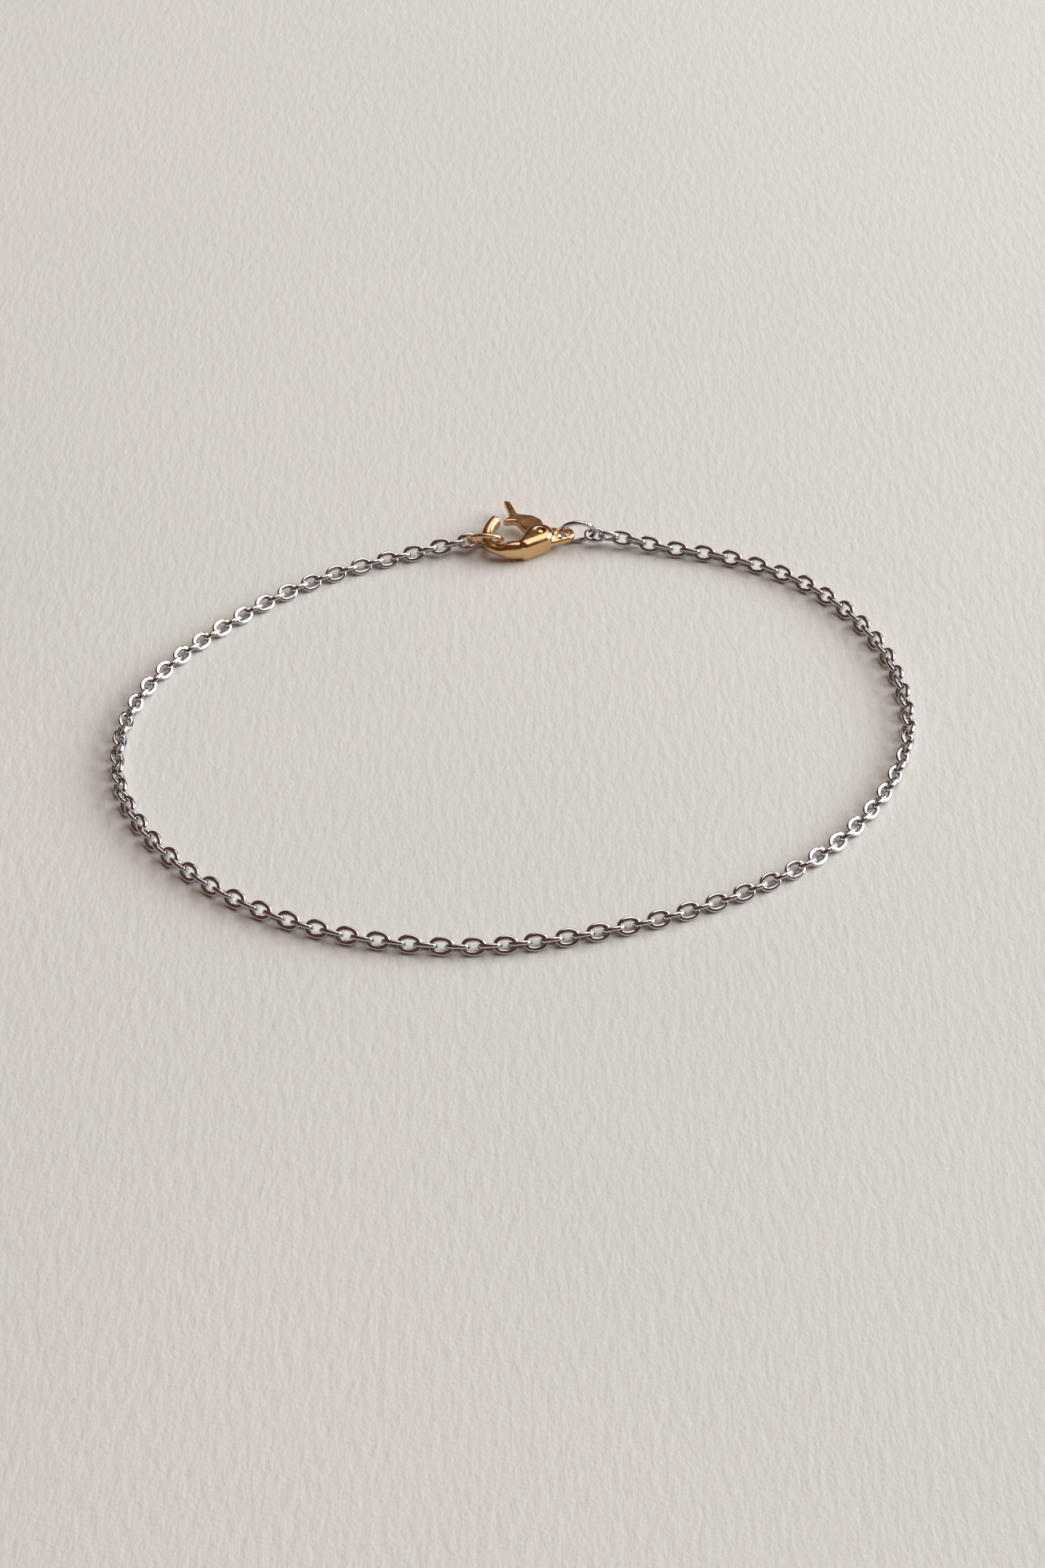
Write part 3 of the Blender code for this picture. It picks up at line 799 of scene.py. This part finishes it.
    def spine_middle(self) -> tuple[float, float]:
        """The middle of the spine's curve."""
        return (-self.hook_reach + self.heel_radius, self.spine_radius - self.heel_radius)

    def squared(self, point: Vector) -> Vector:
        """Moves a point of a unit circle onto a slightly squarer oval."""
        power = 2 / self.squareness
        return Vector((math.copysign(abs(point.x) ** power, point.x),
                       math.copysign(abs(point.y) ** power, point.y), 0))

    def slot_room(self) -> bmesh.types.BMesh:
        """The room between the cheeks for the gate's knuckle and its swing."""
        outline = arc((0, 0), self.knuckle_radius + self.clearance, self.slot[1], self.slot[0] + 360, 6)
        outline += arc((0, 0), self.cheek_radius + self.tail_radius, *self.slot, 6)
        half = self.gate_height / 2 + self.clearance
        return plate(outline, self.height / 2 - half, self.height / 2 + half, 0)

    def bore(self) -> bmesh.types.BMesh:
        """The hole for the rivet."""
        return plate(wrap([(0, 0, self.rivet_radius + self.clearance)]), -self.height, 2 * self.height, 0)

    def body(self) -> bmesh.types.BMesh:
        """Joins hook, cheeks and tail, cuts the slot and the holes, and tumbles the casting.

        Returns:
            The clasp's body.
        """
        middle = self.height / 2
        shoulder = arc(self.spine_middle(), self.spine_radius, 270, self.shoulder_at, 15)[-1]
        item = finish_object("casting", self.hook())
        cheeks = wrap([(0, 0, self.cheek_radius), (shoulder.x, shoulder.y, self.shoulder_radius)])
        combine(item, plate(cheeks, 0, self.height, self.cheek_rim), "UNION")
        tail = wrap([(*self.tail, self.tail_radius), (*self.waist, self.waist_radius)])
        low, high = middle - self.tail_height / 2, middle + self.tail_height / 2
        combine(item, plate(tail, low, high, self.tail_rim), "UNION")
        end = (self.tail[0] * self.fairing_end[0], self.tail[1] * self.fairing_end[1])
        fairing = wrap([(0, 0, self.cheek_radius - self.fairing_inset), (*end, self.fairing_end_radius)])
        low, high = middle - self.fairing_height / 2, middle + self.fairing_height / 2
        combine(item, plate(fairing, low, high, self.fairing_rim), "UNION")
        combine(item, self.slot_room(), "DIFFERENCE")
        combine(item, self.bore(), "DIFFERENCE")
        hole = wrap([(*self.tail, self.tail_hole)])
        combine(item, plate(hole, -self.height, 2 * self.height, 0), "DIFFERENCE")
        bm = tumbled(item, self.skin, self.body_rounds)
        mark_wear(bm, self.wear_rises[0])
        return bm

    def gate(self) -> bmesh.types.BMesh:
        """Cuts the gate with its knuckle and its thumb piece, and tumbles it.

        Returns:
            The gate, closed against the nose.
        """
        reach = self.hook_reach - self.hook_bar / 2 - self.clearance - self.tip_play
        outline = arc((0, 0), self.knuckle_radius, *self.knuckle, 6)
        outline += [Vector((x * MM, y * MM, 0)) for x, y in self.gate_back]
        outline += arc((0, 0), reach, *self.gate_tip, 3)
        outline += [Vector((self.gate_inner[0] * MM, self.gate_inner[1] * MM, 0))]
        half = self.gate_height / 2
        low, high = self.height / 2 - half, self.height / 2 + half
        item = finish_object("blank", plate(outline, low, high, self.gate_rim, self.gate_corner))
        combine(item, self.bore(), "DIFFERENCE")
        bm = tumbled(item, self.skin * self.gate_skin, self.gate_rounds)
        mark_wear(bm, self.wear_rises[1])
        return bm

    def rivet(self) -> bmesh.types.BMesh:
        """Turns the rivet, with a low dome and a bevelled edge at each end.

        Returns:
            The rivet.
        """
        bm = bmesh.new()
        radius, low, high = self.rivet_radius, self.rivet_recess, self.height
        rim, dome = self.rivet_rim, self.rivet_dome
        half = [(0, high), (radius * 0.5, high - dome * 0.3), (radius - rim, high - dome),
                (radius - rim * 0.3, high - dome - rim * 0.4), (radius, high - dome - rim),
                (radius, low + rim), (radius - rim, low), (0, low)]
        verts = [bm.verts.new((x, 0, z)) for x, z in half]
        edges = [bm.edges.new(pair) for pair in zip(verts, verts[1:])]
        bmesh.ops.spin(bm, geom=verts + edges, cent=(0, 0, 0), axis=(0, 0, 1), angle=2 * math.pi, steps=40,
                       use_merge=True)
        bmesh.ops.remove_doubles(bm, verts=bm.verts, dist=0.001 * MM)
        mark_wear(bm, self.wear_rises[2])
        return bm

    def held_by_hook(self) -> Vector:
        """The point of the bar's middle line, on the heel, where the hook's ring hangs."""
        heel = Vector((-self.hook_reach + self.heel_radius, 0, self.height / 2))
        return heel + Vector((math.cos(self.ring_at), math.sin(self.ring_at), 0)) * self.heel_radius

    def held_by_tail(self) -> Vector:
        """The middle of the tail's outer rim, where the tail's ring hangs."""
        return Vector((self.tail[0] + (self.tail_radius + self.tail_hole) / 2, self.tail[1], self.height / 2))


@dataclass(frozen=True)
class Panel:
    """A soft panel of light that faces the bracelet."""

    name: str
    # Direction round the bracelet from +X, and height over the paper, in degrees
    turn: float
    elevation: float
    # Angles that the panel fills, level and upright, in degrees
    spread: tuple[float, float]
    radiance: float
    colour: str
    # Distance in metres, far enough for the paper to be lit almost evenly
    reach: float = 1.5

    def add(self) -> None:
        """Adds the panel as an area light."""
        size = [2 * self.reach * math.tan(math.radians(angle / 2)) for angle in self.spread]
        data = bpy.data.lights.new(self.name, "AREA")
        data.shape = "RECTANGLE"
        data.size, data.size_y = size
        data.color = linear(self.colour)[:3]
        data.energy = self.radiance * math.pi * size[0] * size[1]
        lamp = bpy.data.objects.new(self.name, data)
        t, e = math.radians(self.turn), math.radians(self.elevation)
        way = Vector((math.cos(t) * math.cos(e), math.sin(t) * math.cos(e), math.sin(e)))
        lamp.location = way * self.reach
        lamp.rotation_euler = way.to_track_quat("Z", "Y").to_euler()
        bpy.context.scene.collection.objects.link(lamp)


@dataclass
class Studio:
    """Camera, paper and soft light, as plain as a table beside a window."""

    # The camera looks at this point of the paper, in millimetres from the rivet
    aim_mm: tuple[float, float] = (-1.47, -32.15)
    elevation: float = math.radians(39.8)
    distance: float = 266.4 * MM
    focal: float = 76.5
    sensor: float = 36
    # Half the paper's side, in metres
    paper_reach: float = 1.5
    # The window at the right and a little behind, and the pale ceiling above it
    window: Panel = Panel("window", 14, 22, (46, 26), 10.4, "#FBFDFF")
    ceiling: Panel = Panel("pale ceiling", 38, 64, (70, 42), 1.75, "#FCFCFA")
    # The dim, warm room, which the metal mirrors everywhere else
    room_colour: str = "#7C5442"
    room_strength: float = 0.55

    def camera(self, shift: Vector) -> None:
        """Adds the camera.

        Args:
            shift: The rivet's place in the frame.
        """
        data = bpy.data.cameras.new("camera")
        data.lens = self.focal
        data.sensor_fit = "VERTICAL"
        data.sensor_height = self.sensor
        data.clip_start = 1 * MM
        camera = bpy.data.objects.new("camera", data)
        back = Vector((0, -math.cos(self.elevation), math.sin(self.elevation)))
        aim = Vector((shift.x + self.aim_mm[0] * MM, shift.y + self.aim_mm[1] * MM, 0))
        camera.location = aim + back * self.distance
        camera.rotation_euler = (math.pi / 2 - self.elevation, 0, 0)
        bpy.context.scene.collection.objects.link(camera)
        bpy.context.scene.camera = camera

    def paper(self) -> None:
        """Lays the sheet of paper."""
        bm = bmesh.new()
        bmesh.ops.create_grid(bm, x_segments=1, y_segments=1, size=self.paper_reach)
        finish_object("paper", bm, PAPER.material())

    def light(self) -> None:
        """Adds the window, the pale ceiling and the dim room."""
        bpy.context.scene.view_settings.view_transform = "Standard"
        self.window.add()
        self.ceiling.add()
        world = bpy.data.worlds.new("dim room")
        world.use_nodes = True
        room = world.node_tree.nodes["Background"]
        room.inputs["Color"].default_value = linear(self.room_colour)
        room.inputs["Strength"].default_value = self.room_strength
        bpy.context.scene.world = world


def main() -> None:
    """Builds the bracelet's pieces and the studio, and reports each piece."""
    logging.basicConfig(level=logging.INFO, format="%(message)s")
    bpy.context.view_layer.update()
    rivet_at = Vector(frame["joints"][0]["pos_m"])
    shift = Vector((rivet_at.x, rivet_at.y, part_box("clasp_body")[0][2]))
    move = Matrix.Translation(shift)

    clasp = Clasp()
    hook_ring = JumpRing(diameter=3.3 * MM, lean=math.radians(50), held=clasp.held_by_hook(),
                         past=-0.12 * MM, seam_at=math.radians(118))
    tail_ring = JumpRing(diameter=3.32 * MM, lean=math.radians(66), held=clasp.held_by_tail(),
                         past=0.44 * MM, seam_at=math.radians(62))
    chain = Chain(Link(), hook_ring, tail_ring)

    steel, gold = STEEL.material(), GOLD.material()
    shapes = [
        ("links_to_the_hook", chain.build(Half.HOOK), steel, BRACELET, "chain_steel", Half.HOOK.value),
        ("links_to_the_tail", chain.build(Half.TAIL), steel, BRACELET, "chain_steel", Half.TAIL.value),
        ("ring_in_the_hook", hook_ring.build(), gold, BRACELET, "ring_gold", "jump_ring_hook"),
        ("ring_in_the_tail", tail_ring.build(), steel, BRACELET, "ring_steel", "jump_ring_tail"),
        ("claw", clasp.body(), gold, BRACELET, "clasp_gold", "clasp_body"),
        ("claw_gate", clasp.gate(), gold, GATE, "gate_gold", "clasp_gate"),
        ("claw_rivet", clasp.rivet(), gold, BRACELET, "rivet_gold", "clasp_rivet"),
    ]
    for name, bm, material, body, slot, node in shapes:
        bmesh.ops.transform(bm, matrix=move, verts=bm.verts)
        add_piece(finish_object(name, bm, material), body, slot, node)

    studio = Studio()
    studio.paper()
    studio.light()
    studio.camera(shift)


if __name__ == "__main__":
    main()
